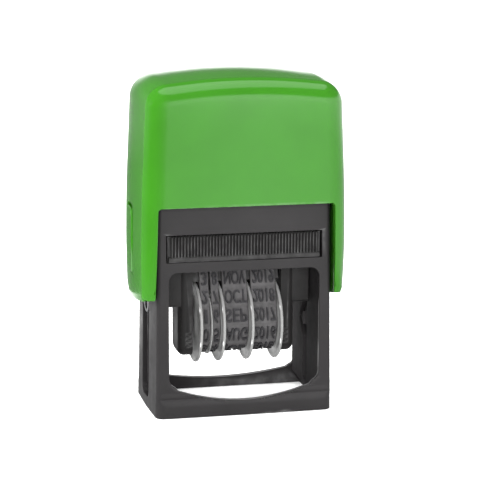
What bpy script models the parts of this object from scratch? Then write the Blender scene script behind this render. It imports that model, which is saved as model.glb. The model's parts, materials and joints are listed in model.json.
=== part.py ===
"""Self-inking rotary date stamp: black base, green press-down cover, turn-over date unit.

Axes: X to the right, Y away from the pad side (the front is -Y), Z up.
The origin is the centre of the base's underside.  Lengths below are millimetres;
Sketch.build() turns them into metres.
"""
import math

import bpy

MM = 0.001

# --- motion -----------------------------------------------------------------------
TRAVEL = 18.55           # how far the cover is pressed down
AXLE_Z = 28.35           # turn-over axle of the date unit, cover up
WHEEL_Z = 20.0           # axis of the date wheels, cover up
CAM_R = 3.95             # cam follower, below the turn-over axle

# --- base -------------------------------------------------------------------------
BASE_X, BASE_Y = 21.1, 13.0       # half width and half depth of the corners at z = 0
BASE_TOP = 52.5
DRAFT = 0.012                     # how much each face leans in per mm of height
BASE_BULGE_X, BASE_BULGE_Y = 0.35, 0.2
REAR_ROUND = 3.0                  # rounding of the two rear uprights
ROOM_X, ROOM_Y = 18.0, 11.8       # clear room inside
FLARE_X, FLARE_Z = 20.0, 3.4      # the side walls thin out towards the paper
WIN_TOP = 34.6                    # both windows; their lower edges are shallow arcs
FRONT_WINDOW = (18.0, 3.65, 0.0113)   # half width, lowest point, curvature
REAR_WINDOW = (18.7, 2.45, 0.0062)
WIN_CORNER = 2.2
SLOT_LOW, SLOT_TOP, SLOT_HALF = 3.9, 31.0, 1.75
CHANNEL_X, CHANNEL_HALF = 20.0, 4.0   # outer guide channel for the bail arms
CAM_DEEP_X, CAM_HALF = 19.1, 0.88
PAD_LOW, PAD_TOP, PAD_HALF = 37.0, 43.4, 18.6
DECK_TOP = 45.0

# --- cover ------------------------------------------------------------------------
COVER_Y = 15.6
COVER_TOP = 79.7
COVER_ROUND = 4.8                 # rounding from the faces to the sides and top
COVER_TAPER = 0.0009              # narrower towards the rear, per millimetre
COVER_IN_X, COVER_IN_Y, COVER_IN_TOP = 21.75, 13.75, 76.4
CUT_HALF, CUT_TOP = 20.9, 50.2    # front and back cut-outs
CUT_FLARE = 0.023                 # how much they widen downwards
CROWN = 0.85                      # how far the sides and top swell between the faces
LEG_Z, LEG_LEAN, LEG_CURVE = 26.2, -0.1, 0.005    # lower edge of the side legs along y
LEG_REAR = 0.3                    # how fast it rises in its rounded rear corner
BTN_Y0, BTN_Y1, BTN_Z0, BTN_Z1 = -0.7, 7.6, 32.7, 47.8
BTN_GAP = 0.4

# --- date unit --------------------------------------------------------------------
CHEEK_IN, CHEEK_OUT = 10.7, 14.1
CHEEK_Y, CHEEK_LOW, CHEEK_TOP = 4.8, 12.4, 36.9
HUB_Y, HUB_LOW, HUB_TOP, HUB_OUT = 4.6, 24.6, 36.6, 17.6
PIN_R, PIN_OUT = 1.45, 21.0
DISC_R, DISC_T = 9.8, 0.7
DRUM_R = 5.85
ROWS, PITCH = 14, 4.5             # characters round each band and their spacing
BAND_R, BAND_T, TYPE_H = 7.0, 0.8, 0.6
FACE_Z = 38.1                     # inked character faces, cover up
# name, band x range, disc x centre
WHEELS = (
    ("day_tens", -9.05, -6.95, -9.55),
    ("day_units", -6.45, -4.55, -4.05),
    ("month", -3.55, 2.35, 2.85),
    ("year", 3.35, 9.3, 9.85),
)
SEPARATOR_X = -6.7

MATERIALS = {
    "green": ((0.10, 0.42, 0.05, 1), 0.32, 0.0),
    "black": ((0.045, 0.043, 0.044, 1), 0.45, 0.0),
    "carrier": ((0.03, 0.03, 0.031, 1), 0.5, 0.0),
    "grey": ((0.62, 0.62, 0.62, 1), 0.38, 0.0),
    "rubber": ((0.075, 0.073, 0.074, 1), 0.7, 0.0),
    "steel": ((0.55, 0.55, 0.56, 1), 0.3, 1.0),
    "felt": ((0.012, 0.012, 0.016, 1), 0.95, 0.0),
}


class Sketch:
    """Collects vertices and faces of one solid, in millimetres."""

    def __init__(self):
        self.verts, self.faces = [], []

    def add(self, points):
        start = len(self.verts)
        self.verts.extend(tuple(p) for p in points)
        return list(range(start, start + len(points)))

    def strip(self, ring_a, ring_b):
        """Quads between two closed rings of equal length."""
        n = len(ring_a)
        for i in range(n):
            j = (i + 1) % n
            self.faces.append((ring_a[i], ring_a[j], ring_b[j], ring_b[i]))

    def loft(self, rings, cap=True):
        ids = [self.add(r) for r in rings]
        for low, high in zip(ids, ids[1:]):
            self.strip(low, high)
        if cap:
            self.faces.append(tuple(reversed(ids[0])))
            self.faces.append(tuple(ids[-1]))
        return self

    def volume(self):
        """Signed volume: negative when the faces point inwards."""
        total = 0.0
        for face in self.faces:
            ax, ay, az = self.verts[face[0]]
            for i, j in zip(face[1:], face[2:]):
                bx, by, bz = self.verts[i]
                cx, cy, cz = self.verts[j]
                total += (ax * (by * cz - bz * cy) + ay * (bz * cx - bx * cz)
                          + az * (bx * cy - by * cx))
        return total / 6

    def build(self, name, material=None, origin=(0.0, 0.0, 0.0), smooth=False):
        if self.volume() < 0:
            self.faces = [tuple(reversed(f)) for f in self.faces]
        ox, oy, oz = origin
        mesh = bpy.data.meshes.new(name)
        mesh.from_pydata([((x - ox) * MM, (y - oy) * MM, (z - oz) * MM)
                          for x, y, z in self.verts], [], self.faces)
        obj = bpy.data.objects.new(name, mesh)
        obj.location = (ox * MM, oy * MM, oz * MM)
        bpy.context.scene.collection.objects.link(obj)
        for poly in mesh.polygons:
            poly.use_smooth = smooth
        if material:
            mesh.materials.append(material_named(material))
        return obj


def material_named(key):
    mat = bpy.data.materials.get(key)
    if mat is None:
        mat = bpy.data.materials.new(key)
        mat.use_nodes = True
        shader = mat.node_tree.nodes["Principled BSDF"]
        colour, rough, metal = MATERIALS[key]
        shader.inputs["Base Color"].default_value = colour
        shader.inputs["Roughness"].default_value = rough
        shader.inputs["Metallic"].default_value = metal
    return mat


def combine(target, other, operation, hide=True):
    """Boolean of a helper solid into the target; the helper stays out of the part."""
    mod = target.modifiers.new(operation.lower(), "BOOLEAN")
    mod.operation = operation
    mod.solver = "EXACT"
    mod.object = other
    if hide:
        other.hide_render = True
        other.display_type = "WIRE"
    return target


def cut(target, *others):
    for other in others:
        combine(target, other, "DIFFERENCE")
    return target


def join(target, *others):
    for other in others:
        combine(target, other, "UNION")
    return target


# --- basic solids -------------------------------------------------------------------
def box(x0, x1, y0, y1, z0, z1):
    ring = [(x0, y0), (x1, y0), (x1, y1), (x0, y1)]
    return Sketch().loft([[(x, y, z) for x, y in ring] for z in (z0, z1)])


def prism_x(outline, x0, x1):
    """Extrudes a (y, z) outline along X."""
    return Sketch().loft([[(x, y, z) for y, z in outline] for x in (x0, x1)])


def prism_y(outline, y0, y1):
    """Extrudes an (x, z) outline along Y."""
    return Sketch().loft([[(x, y, z) for x, z in outline] for y in (y0, y1)])


def prism_z(outline, z0, z1):
    return Sketch().loft([[(x, y, z) for x, y in outline] for z in (z0, z1)])


def together(*sketches):
    """Several separate solids in one helper."""
    whole = Sketch()
    for part in sketches:
        start = len(whole.verts)
        whole.verts += part.verts
        whole.faces += [tuple(start + i for i in face) for face in part.faces]
    return whole


def both_sides(outline, x0, x1):
    """The same (y, z) outline extruded between x0 and x1 at the left and at the right."""
    return together(prism_x(outline, -x1, -x0), prism_x(outline, x0, x1))


def turned_x(profile, centre_z, steps=48, centre_y=0.0):
    """Turns an (x, radius) profile about a line parallel to X."""
    rings = []
    for x, radius in profile:
        rings.append([(x, centre_y + radius * math.cos(2 * math.pi * i / steps),
                       centre_z + radius * math.sin(2 * math.pi * i / steps))
                      for i in range(steps)])
    return Sketch().loft(rings)


def turned_z(profile, steps=40):
    """Turns a (z, radius) profile about the Z axis."""
    rings = []
    for z, radius in profile:
        rings.append([(radius * math.cos(2 * math.pi * i / steps),
                       radius * math.sin(2 * math.pi * i / steps), z)
                      for i in range(steps)])
    return Sketch().loft(rings)


def arc(cx, cy, radius, deg0, deg1, steps):
    return [(cx + radius * math.cos(math.radians(deg0 + (deg1 - deg0) * i / steps)),
             cy + radius * math.sin(math.radians(deg0 + (deg1 - deg0) * i / steps)))
            for i in range(steps + 1)]


def rounded_box(u0, u1, v0, v1, radius, steps=4):
    """Counter-clockwise outline of a rectangle with rounded corners."""
    return (arc(u1 - radius, v1 - radius, radius, 0, 90, steps)
            + arc(u0 + radius, v1 - radius, radius, 90, 180, steps)
            + arc(u0 + radius, v0 + radius, radius, 180, 270, steps)
            + arc(u1 - radius, v0 + radius, radius, 270, 360, steps))


def inset(outline, amount):
    """Moves every point of a counter-clockwise outline inwards by the same distance."""
    n, out = len(outline), []
    for i, (u, v) in enumerate(outline):
        (pu, pv), (nu, nv) = outline[i - 1], outline[(i + 1) % n]
        d1 = math.hypot(u - pu, v - pv)
        d2 = math.hypot(nu - u, nv - v)
        n1 = (-(v - pv) / d1, (u - pu) / d1)
        n2 = (-(nv - v) / d2, (nu - u) / d2)
        mu, mv = n1[0] + n2[0], n1[1] + n2[1]
        scale = 2.0 / (mu * mu + mv * mv)
        out.append((u + amount * mu * scale, v + amount * mv * scale))
    return out


def lerp(table, z):
    """Straight-line value between the (z, value) pairs of a short profile."""
    for (z0, a), (z1, b) in zip(table, table[1:]):
        if z <= z1:
            t = max(0.0, (z - z0) / (z1 - z0))
            return a + (b - a) * t
    return table[-1][1]


# --- base ---------------------------------------------------------------------------
FOOT_PROFILE = ((0.0, 0.35), (0.35, 0.62), (2.7, 0.62), (3.5, 0.48), (4.1, 0.2), (4.5, 0.0),
                (4.9, 0.14), (6.1, 0.0))


def base_ring(z):
    """Plan outline of the base at height z: rounded corners, gently bowed faces."""
    foot = lerp(FOOT_PROFILE, z) if z < 6.1 else 0.0
    edge = 0.25 if z in (0.0, BASE_TOP) else 0.0
    a = BASE_X - DRAFT * z - edge
    b = BASE_Y - DRAFT * z + foot - edge * (z > 1)
    front = 0.9 + 1.2 * foot / 0.62
    corners = [arc(sx * (a - r), sy * (b - r), r, deg, deg + 90, 5)
               for sx, sy, deg, r in ((1, 1, 0, REAR_ROUND), (-1, 1, 90, REAR_ROUND),
                                      (-1, -1, 180, front), (1, -1, 270, front))]
    ring, parts = [], 5
    for corner, following in zip(corners, corners[1:] + corners[:1]):
        (x0, y0), (x1, y1) = corner[-1], following[0]
        ring += corner + [(x0 + (x1 - x0) * i / parts, y0 + (y1 - y0) * i / parts)
                          for i in range(1, parts)]
    return [(x * (1 + BASE_BULGE_X / a * (1 - (y / b) ** 2)),
             y * (1 + BASE_BULGE_Y / b * (1 - (x / a) ** 2)), z) for x, y in ring]


def window_outline(window):
    """Window with rounded corners and a lower edge that follows the rail's arc."""
    half, lowest, curve = window
    r, reach, steps = WIN_CORNER, half - WIN_CORNER, 14
    low = []
    for i in range(steps + 1):
        x = -reach + 2 * reach * i / steps
        low.append((x, lowest + curve * x * x))
    shoulder = low[-1][1] + r + 2 * curve * reach * r
    return (low + arc(reach, shoulder, r, -70, 0, 4)
            + arc(reach, WIN_TOP - r, r, 0, 90, 5)
            + arc(-reach, WIN_TOP - r, r, 90, 180, 5)
            + arc(-reach, shoulder, r, 180, 250, 4))


def cam_path(turn):
    """Follower position for a turn of 0..pi while the axle sinks at a constant rate."""
    return (CAM_R * math.sin(turn),
            AXLE_Z - TRAVEL * turn / math.pi - CAM_R * math.cos(turn))


def cam_outline():
    steps, left, right = 22, [], []
    for i in range(steps + 1):
        y, z = cam_path(math.pi * i / steps)
        y2, z2 = cam_path(math.pi * i / steps + 0.01)
        dy, dz = y2 - y, z2 - z
        size = math.hypot(dy, dz)
        ny, nz = -dz / size * CAM_HALF, dy / size * CAM_HALF
        left.append((y + ny, z + nz))
        right.append((y - ny, z - nz))
    return left + right[::-1]


def make_base():
    levels = [z for z, _ in FOOT_PROFILE] + [20.0, 36.0, BASE_TOP - 0.3, BASE_TOP]
    base = Sketch().loft([base_ring(z) for z in levels]).build("base_frame", "black")
    room = [(-FLARE_X, -1), (FLARE_X, -1), (FLARE_X, 0.8), (ROOM_X, FLARE_Z),
            (ROOM_X, PAD_LOW + 0.1), (-ROOM_X, PAD_LOW + 0.1), (-ROOM_X, FLARE_Z), (-FLARE_X, 0.8)]
    slot = rounded_box(-SLOT_HALF, SLOT_HALF, SLOT_LOW, SLOT_TOP, 1.7, 5)
    channel = rounded_box(-CHANNEL_HALF, CHANNEL_HALF, 2.6, BASE_TOP + 6, 2.0, 4)
    mouth = arc(0.0, AXLE_Z - 0.2, 3.1, 0, 360, 20)[:-1]
    cut(base,
        prism_y(room, -ROOM_Y, ROOM_Y).build("cut_room"),
        box(-PAD_HALF, PAD_HALF, -16, ROOM_Y, PAD_LOW, PAD_TOP).build("cut_pad_slot"),
        prism_z(rounded_box(-18.9, 18.9, -11.4, 11.4, 1.5), DECK_TOP, BASE_TOP + 2)
        .build("cut_upper_well"),
        prism_y(window_outline(FRONT_WINDOW), -17, 0).build("cut_front_window"),
        prism_y(window_outline(REAR_WINDOW), ROOM_Y - 0.1, 17).build("cut_rear_window"),
        both_sides(slot, 17.0, 23.0).build("cut_slots"),
        both_sides(channel, CHANNEL_X, 23.0).build("cut_channels"),
        both_sides(cam_outline(), 17.0, CAM_DEEP_X).build("cut_cam_grooves"),
        both_sides(mouth, 17.0, CAM_DEEP_X).build("cut_groove_mouths"))
    cup = turned_z(((DECK_TOP - 0.4, 7.6), (DECK_TOP + 1.6, 7.6)), 32).build("add_spring_cup")
    well = turned_z(((DECK_TOP, 6.5), (DECK_TOP + 3, 6.5)), 32).build("cut_spring_cup")
    join(base, cup)
    cut(base, well)
    return base


# --- ink pad ------------------------------------------------------------------------
def make_pad():
    front, back = -12.75, 11.4
    tray = box(-18.2, 18.2, front + 1.2, back, PAD_LOW + 0.25, PAD_TOP - 0.3).build(
        "ink_pad_tray", "black")
    type_clear = FACE_Z + 0.35            # the pad slides out above the inked type
    cut(tray, box(-17.1, 17.1, -10.4, 10.4, PAD_LOW - 1, 41.2).build("cut_tray_well"),
        box(-10.5, 10.5, 8.0, 14.0, PAD_LOW - 1, type_clear).build("cut_tray_notch"))
    # grip face: upright ribs above a plain lip
    ribs, pitch, half = 47, 0.748, 0.23
    outline = [(-18.05, front + 1.4), (-18.05, front + 0.55)]
    for i in range(ribs):
        x = (i - (ribs - 1) / 2) * pitch
        outline += [(x - half, front + 0.55), (x - half * 0.5, front + 0.05),
                    (x + half * 0.5, front + 0.05), (x + half, front + 0.55)]
    outline += [(18.05, front + 0.55), (18.05, front + 1.4)]
    lip = [(front + 1.4, 37.25), (front + 0.25, 37.25), (front + 0.05, 37.5),
           (front + 0.05, 37.9), (front + 0.35, 38.35), (front + 1.4, 38.35)]
    join(tray,
         prism_z(outline, 38.2, PAD_TOP - 0.3).build("add_grip_ribs"),
         prism_x(lip, -18.05, 18.05).build("add_grip_lip"))
    felt = box(-16.8, 16.8, -10.1, 10.1, type_clear, 40.9).build("ink_pad_felt", "felt")
    return tray, felt


# --- cover --------------------------------------------------------------------------
# half width of the cover at height z, and half depth of its faces
COVER_W = ((24.0, 23.8), (28.0, 23.95), (34.5, 24.1), (41.0, 24.15), (52.0, 23.95),
           (62.0, 23.55), (74.0, 23.05), (80.0, 22.85))
COVER_D = ((25.0, 13.9), (30.0, 14.55), (36.0, 15.15), (44.0, 15.55), (60.0, 15.6),
           (80.0, 15.45))
REAR_D = ((25.0, 15.2), (36.0, 15.5), (60.0, 15.6), (80.0, 15.45))
COVER_REF = 22.4                  # half width used to lay out the outline before shaping


def cover_outline():
    """Front outline of the cover block, counter-clockwise in (x, z), sides upright."""
    corner, dome = 5.4, 0.0040
    top_z = COVER_TOP - dome * (COVER_REF - corner) ** 2
    right = [(COVER_REF, z) for z in (22.0, 25.6, 26.3, 27.0, 27.8, 28.6, 29.4, 30.2, 31.2,
                                      33.0, 36.0, 40.0, 45.0, 50.0, 56.0, 62.0, 68.0)]
    right += arc(COVER_REF - corner, top_z - corner, corner, 0, 86, 8)
    right += [(x, COVER_TOP - dome * x * x) for x in (14.0, 10.0, 5.0)]
    return right + [(0.0, COVER_TOP)] + [(-x, z) for x, z in reversed(right)]


def leg_edge(y):
    """Height of the lower edge of the side legs."""
    corner = LEG_REAR * max(0.0, y - 9.0) ** 2
    return LEG_Z + LEG_LEAN * y + LEG_CURVE * y * y + corner


def shape_cover(x, y, z, swell=0.0):
    """Bows the upright block into the cover: narrower at the foot and at the top."""
    wide = lerp(COVER_W, z) / COVER_REF * (1 - COVER_TAPER * y)
    deep = lerp(COVER_D if y < 0 else REAR_D, z) / COVER_Y
    flat = COVER_Y - COVER_ROUND
    arch = max(0.0, 1 - (y / flat) ** 2)
    x *= wide * (1 + (swell + 0.35 * CROWN * arch) / COVER_REF)
    turn_in = max(0.0, 1 - max(0.0, z - leg_edge(y)) / 1.2)     # rounded lower edge of the legs
    outer = min(1.0, max(0.0, (abs(x) - 20.5) / 2.0))
    x -= math.copysign(0.35 * turn_in ** 2 * outer, x)
    lift = CROWN * arch * max(0.0, (z - 66.0) / (COVER_TOP - 66.0)) ** 2
    return x, y * deep, z + lift


def cover_solid(name, swell=0.0):
    outline = cover_outline()
    n, steps = len(outline), 6
    sketch, rings = Sketch(), []
    for side in (-1, 1):
        order = range(steps + 1) if side < 0 else range(steps, -1, -1)
        for k in order:
            turn = math.pi / 2 * (1 - k / steps)
            y = side * (COVER_Y - COVER_ROUND + COVER_ROUND * math.sin(turn))
            ring = inset(outline, COVER_ROUND * (1 - math.cos(turn)))
            rings.append(sketch.add([shape_cover(x, y, z, swell) for x, z in ring]))
        if side < 0:
            for y in (-6.0, 0.0, 6.0):
                rings.append(sketch.add([shape_cover(x, y, z, swell) for x, z in outline]))
    for near, far in zip(rings, rings[1:]):
        sketch.strip(near, far)
    for ring, flip in ((rings[0], True), (rings[-1], False)):
        for i in range(n // 2):
            j = n - 1 - i
            quad = [ring[i], ring[i + 1], ring[j - 1], ring[j]]
            if quad[1] == quad[2]:
                quad.pop(2)
            sketch.faces.append(tuple(quad if not flip else reversed(quad)))
    return sketch.build(name, "green", smooth=True)


def cover_inside():
    """Hollow of the cover: upright walls, bevelled corners, rounded shoulders under the roof."""
    r, corner = 2.0, 1.5
    shoulder = arc(COVER_IN_X - 0.4 - r, COVER_IN_TOP - r, r, 0, 90, 6)
    outline = ([(-COVER_IN_X, 15.0), (COVER_IN_X, 15.0), (COVER_IN_X, 58.0)] + shoulder
               + [(-x, z) for x, z in reversed(shoulder)] + [(-COVER_IN_X, 58.0)])
    narrow = 1 - corner / COVER_IN_X
    levels = ((-COVER_IN_Y, narrow), (corner - COVER_IN_Y, 1.0), (COVER_IN_Y - corner, 1.0),
              (COVER_IN_Y, narrow))
    return Sketch().loft([[(x * k, y, z) for x, z in outline] for y, k in levels])


def leg_trim():
    """Everything below the slanting lower edge of the cover's side legs."""
    edge = [(y, leg_edge(y)) for y in (19.0 - 2.0 * i for i in range(20))]
    return both_sides([(-19.0, 12.0), (19.0, 12.0)] + edge, 16.0, 29.0)


def button_outline(gap=0.0):
    r = 2.0
    y0, y1, z0, z1 = BTN_Y0 - gap, BTN_Y1 + gap, BTN_Z0 - gap, BTN_Z1 + 2.3 * gap
    return ([(y1, z0)] + arc(y1 - r, z1 - r, r, 0, 90, 5)
            + arc(y0 + r, z1 - r, r, 90, 180, 5) + [(y0, z0)])


def bail_boss(x):
    boss = turned_z(((74.35, 2.4), (COVER_IN_TOP + 0.5, 2.4)), 20)
    boss.verts = [(vx + x, vy, vz) for vx, vy, vz in boss.verts]
    return boss


def make_cover():
    cover = cover_solid("cover_shell")
    corner = arc(CUT_HALF - 0.9, CUT_TOP - 0.9, 0.9, 0, 90, 3)
    wide = CUT_HALF + CUT_FLARE * (CUT_TOP - 10.0)
    opening = [(-wide, 10.0), (wide, 10.0)] + corner + [(-x, z) for x, z in reversed(corner)]
    cut(cover, prism_y(opening, -20, 20).build("cut_cover_openings"),
        leg_trim().build("cut_leg_ends"),
        cover_inside().build("cut_cover_inside"),
        both_sides(button_outline(BTN_GAP), 20.0, 27.0).build("cut_button_gaps"))
    join(cover, bail_boss(-13.0).build("add_boss_left"), bail_boss(13.0).build("add_boss_right"))
    for side, name in ((-1, "left"), (1, "right")):
        x0, x1 = sorted((side * 22.3, side * 27.0))
        hinge = (side * 22.4, 0.0, BTN_Z0)
        button = prism_x(button_outline(), x0, x1).build("lock_button_" + name, "green", hinge)
        combine(button, cover_solid("trim_button_" + name, swell=0.25), "INTERSECT")


# --- bail and spring ------------------------------------------------------------------
BAIL_IN, BAIL_OUT, BAIL_HALF = 20.3, 21.1, 3.6
BAIL_LOW, BAIL_TOP = 72.8, 74.1
BAIL_END_Z = 26.5                 # centre of the rounded lower ends


def make_bail():
    bail = box(-BAIL_OUT, BAIL_OUT, -BAIL_HALF - 1.2, BAIL_HALF + 1.2, BAIL_LOW,
               BAIL_TOP).build("bail_bracket", "steel")
    arm = (arc(0.0, BAIL_END_Z, BAIL_HALF, 180, 360, 14)
           + [(BAIL_HALF, BAIL_TOP - 0.1), (-BAIL_HALF, BAIL_TOP - 0.1)])
    pin_hole = arc(0.0, AXLE_Z, PIN_R + 0.3, 0, 360, 20)[:-1]
    end_hole = arc(0.0, 24.95, 1.35, 0, 360, 16)[:-1]
    join(bail, both_sides(arm, BAIL_IN, BAIL_OUT).build("add_bail_arms"))
    cut(bail, both_sides(pin_hole, 19.0, 23.0).build("cut_pin_holes"),
        both_sides(end_hole, 19.0, 23.0).build("cut_end_holes"))
    return bail


def make_spring():
    """Open-coil compression spring with one close end turn at each end."""
    wire, coil, turns, around, steps = 0.45, 5.2, 8.0, 6, 18
    low, high = DECK_TOP + 0.3 + wire, BAIL_LOW - 0.3 - wire
    rise = high - low
    end = 2.1 * wire
    rings = []
    total = int(turns * steps)
    for i in range(total + 1):
        t = i / total * turns
        if t < 1:
            z = low + end * t
        elif t > turns - 1:
            z = high - end * (turns - t)
        else:
            z = low + end + (rise - 2 * end) * (t - 1) / (turns - 2)
        a = 2 * math.pi * t
        rings.append([((coil + wire * math.cos(b)) * math.cos(a),
                       (coil + wire * math.cos(b)) * math.sin(a), z + wire * math.sin(b))
                      for b in (2 * math.pi * k / around for k in range(around))])
    return Sketch().loft(rings).build("return_spring", "steel", smooth=True)


# --- date unit --------------------------------------------------------------------------
AXIS = (0.0, 0.0, AXLE_Z)


def rounded_block_x(outline, x_flat, x_round, radius, steps=4):
    """(y, z) outline extruded along X with its edge rounded at the x_round end."""
    sign = 1 if x_round > x_flat else -1
    rings = [[(x_flat, y, z) for y, z in outline]]
    for k in range(steps + 1):
        turn = math.pi / 2 * k / steps
        x = x_round - sign * radius * (1 - math.sin(turn))
        ring = inset(outline, radius * (1 - math.cos(turn)))
        rings.append([(x, y, z) for y, z in ring])
    return Sketch().loft(rings)


def make_cheek(side, name):
    outline = rounded_box(-CHEEK_Y, CHEEK_Y, CHEEK_LOW, CHEEK_TOP, 2.6, 4)
    cheek = rounded_block_x(outline, side * CHEEK_IN, side * CHEEK_OUT, 1.6).build(
        "cheek_" + name, "carrier", AXIS)
    h0, h1 = sorted((side * (CHEEK_OUT - 0.6), side * HUB_OUT))
    p0, p1 = sorted((side * (HUB_OUT - 0.5), side * PIN_OUT))
    f0, f1 = sorted((side * (CHEEK_OUT - 0.8), side * (CAM_DEEP_X - 0.25)))
    hub = prism_x(rounded_box(-HUB_Y, HUB_Y, HUB_LOW, HUB_TOP, 0.6, 3), h0, h1)
    pin = turned_x(((p0, PIN_R), (p1, PIN_R)), AXLE_Z, 20)
    follower = turned_x(((f0, 0.6), (f1, 0.6)), AXLE_Z - CAM_R, 14)
    reach, edge = CHEEK_OUT - 1.7, CHEEK_Y + 0.2
    plan = [(CHEEK_IN + 0.5, -edge), (reach, -edge), (reach, edge), (CHEEK_IN + 0.5, edge)]
    ribs = [prism_z([(side * x, y) for x, y in plan], z, z + 0.45)
            for z in (14.6 + 1.15 * i for i in range(4))]       # low, for the fingers
    join(cheek, hub.build("add_hub_" + name), pin.build("add_pin_" + name),
         follower.build("add_follower_" + name), together(*ribs).build("add_ribs_" + name))
    cut(cheek, turned_x(((-16, 1.5), (16, 1.5)), WHEEL_Z, 20).build("cut_axle_" + name))
    return cheek


def band_corner():
    """Sizes of the band loop whose length holds ROWS rows: flat half depth, length, ..."""
    top = FACE_Z - TYPE_H - WHEEL_Z

    def length(half):
        dist = math.hypot(half, top)
        straight = math.sqrt(dist ** 2 - BAND_R ** 2)
        lean = math.atan2(half, top) + math.acos(BAND_R / dist)
        return 2 * (half + straight + BAND_R * (math.pi - lean)), straight, lean

    low, high = 1.0, 5.0
    for _ in range(50):
        half = (low + high) / 2
        if length(half)[0] < PITCH * ROWS:
            low = half
        else:
            high = half
    return (half,) + length(half)


def band_point(s, height, loop):
    """Point on the loop at distance s from the middle of the type face, going frontwards."""
    half, total, straight, lean = loop
    s = s % total
    mirror = s > total / 2
    if mirror:
        s = total - s
    top = FACE_Z - TYPE_H
    tangent = (-math.sin(lean) * BAND_R, WHEEL_Z + math.cos(lean) * BAND_R)
    way = ((tangent[0] + half) / straight, (tangent[1] - top) / straight)
    if s <= half:
        y, z, ny, nz = -s, top, 0.0, 1.0
    elif s <= half + straight:
        d = s - half
        y, z = -half + way[0] * d, top + way[1] * d
        ny, nz = way[1], -way[0]
    else:
        a = lean + (s - half - straight) / BAND_R
        ny, nz = -math.sin(a), math.cos(a)
        y, z = ny * BAND_R, WHEEL_Z + nz * BAND_R
    if abs(s - half) < 0.35:                 # ease the bend at the edge of the platen
        t = (s - half + 0.35) / 0.7
        ny, nz = way[1] * t, (1 - t) - way[0] * t
        size = math.hypot(ny, nz)
        ny, nz = ny / size, nz / size
    y, z = y + ny * height, z + nz * height
    return (-y if mirror else y), z


def make_band(name, x0, x1, loop):
    """Endless rubber band with one raised block for each row of type."""
    outer, inner = [], []
    for row in range(ROWS):
        mid = row * PITCH
        for ds, height in ((-0.46, 0.0), (-0.44, 1.0), (-0.24, 1.0), (0.0, 1.0), (0.24, 1.0),
                           (0.44, 1.0), (0.46, 0.0)):
            s = mid + ds * PITCH
            outer.append(band_point(s, height * TYPE_H, loop))
            inner.append(band_point(s, -BAND_T, loop))
    sketch = Sketch()
    rings = [sketch.add([(x, y, z) for y, z in ring])
             for x, ring in ((x0, outer), (x1, outer), (x1, inner), (x0, inner))]
    for a, b in zip(rings, rings[1:] + rings[:1]):
        sketch.strip(a, b)
    return sketch.build("band_" + name, "rubber", AXIS)


def make_wheel(name, x0, x1, disc_x):
    """Drum inside the band with a larger finger disc at one end."""
    on_left = disc_x < x0
    far = x1 - 0.1 if on_left else x0 + 0.1
    near, rim = disc_x + (DISC_T if on_left else -DISC_T) / 2, DISC_R
    outer = disc_x - (DISC_T if on_left else -DISC_T) / 2
    step = 0.22 if on_left else -0.22
    shape = [(far, 1.45), (far, DRUM_R), (near, DRUM_R), (near, 7.6), (near, rim - 0.25),
             (near - step / 2, rim), (outer + step / 2, rim), (outer, rim - 0.25),
             (outer, 1.45)]
    steps = 44
    sketch = Sketch()
    rings = [sketch.add([(x, r * math.cos(2 * math.pi * i / steps),
                          WHEEL_Z + r * math.sin(2 * math.pi * i / steps))
                         for i in range(steps)]) for x, r in shape]
    for a, b in zip(rings, rings[1:] + rings[:1]):
        sketch.strip(a, b)
    return sketch.build("wheel_" + name, "grey", (0.0, 0.0, WHEEL_Z))


def ring_x(name, material, x0, x1, r_in, r_out, centre_z, origin):
    steps, sketch = 36, Sketch()
    rings = [sketch.add([(x, r * math.cos(2 * math.pi * i / steps),
                          centre_z + r * math.sin(2 * math.pi * i / steps))
                         for i in range(steps)])
             for x, r in ((x0, r_in), (x0, r_out), (x1, r_out), (x1, r_in))]
    for a, b in zip(rings, rings[1:] + rings[:1]):
        sketch.strip(a, b)
    return sketch.build(name, material, origin)


def make_date_unit():
    loop = band_corner()
    pieces = [make_cheek(-1, "left"), make_cheek(1, "right")]
    axle = turned_x(((-13.9, 0.9), (-13.7, 1.15), (13.7, 1.15), (13.9, 0.9)), WHEEL_Z, 20)
    pieces.append(axle.build("wheel_axle", "steel", AXIS))
    top = FACE_Z - TYPE_H - BAND_T - 0.3
    low = WHEEL_Z + DISC_R + 0.4
    lean = (BAND_R * 0.98 - loop[0]) / (FACE_Z - TYPE_H - WHEEL_Z)
    core = [(-(loop[0] - 1.15), top), (-(loop[0] - 1.25 + lean * (top - low)), low)]
    core = [(y, z) for y, z in core] + [(-y, z) for y, z in reversed(core)]
    pieces.append(prism_x(core, -CHEEK_IN + 0.2, CHEEK_IN - 0.2).build(
        "platen", "carrier", AXIS))
    for name, x0, x1, disc_x in WHEELS:
        pieces.append(make_band(name, x0, x1, loop))
        pieces.append(make_wheel(name, x0, x1, disc_x))
    pieces.append(ring_x("separator_disc", "grey", SEPARATOR_X - 0.15, SEPARATOR_X + 0.15,
                         1.5, 8.0, WHEEL_Z, AXIS))
    for side, name in ((-1, "left"), (1, "right")):
        x0, x1 = sorted((side * (CHEEK_IN - 0.12), side * (CHEEK_IN - 0.38)))
        pieces.append(ring_x("washer_" + name, "steel", x0, x1, 1.5, 3.2, WHEEL_Z, AXIS))
    return pieces


def main():
    for old in list(bpy.data.objects):
        bpy.data.objects.remove(old, do_unlink=True)
    make_base()
    make_pad()
    make_cover()
    make_bail()
    make_spring()
    make_date_unit()


main()
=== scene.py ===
"""Looks of the rotary date stamp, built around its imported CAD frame.

The shapes below are in millimetres, in the frame's axes: X to the right, Y to the rear, Z up.
Each visible CAD node gets a finer piece that stands for it, or keeps its shape and gets a better
material.  Sizes come from the frame's boxes and from the design's driving dimensions.
"""

import json
import math

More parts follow.
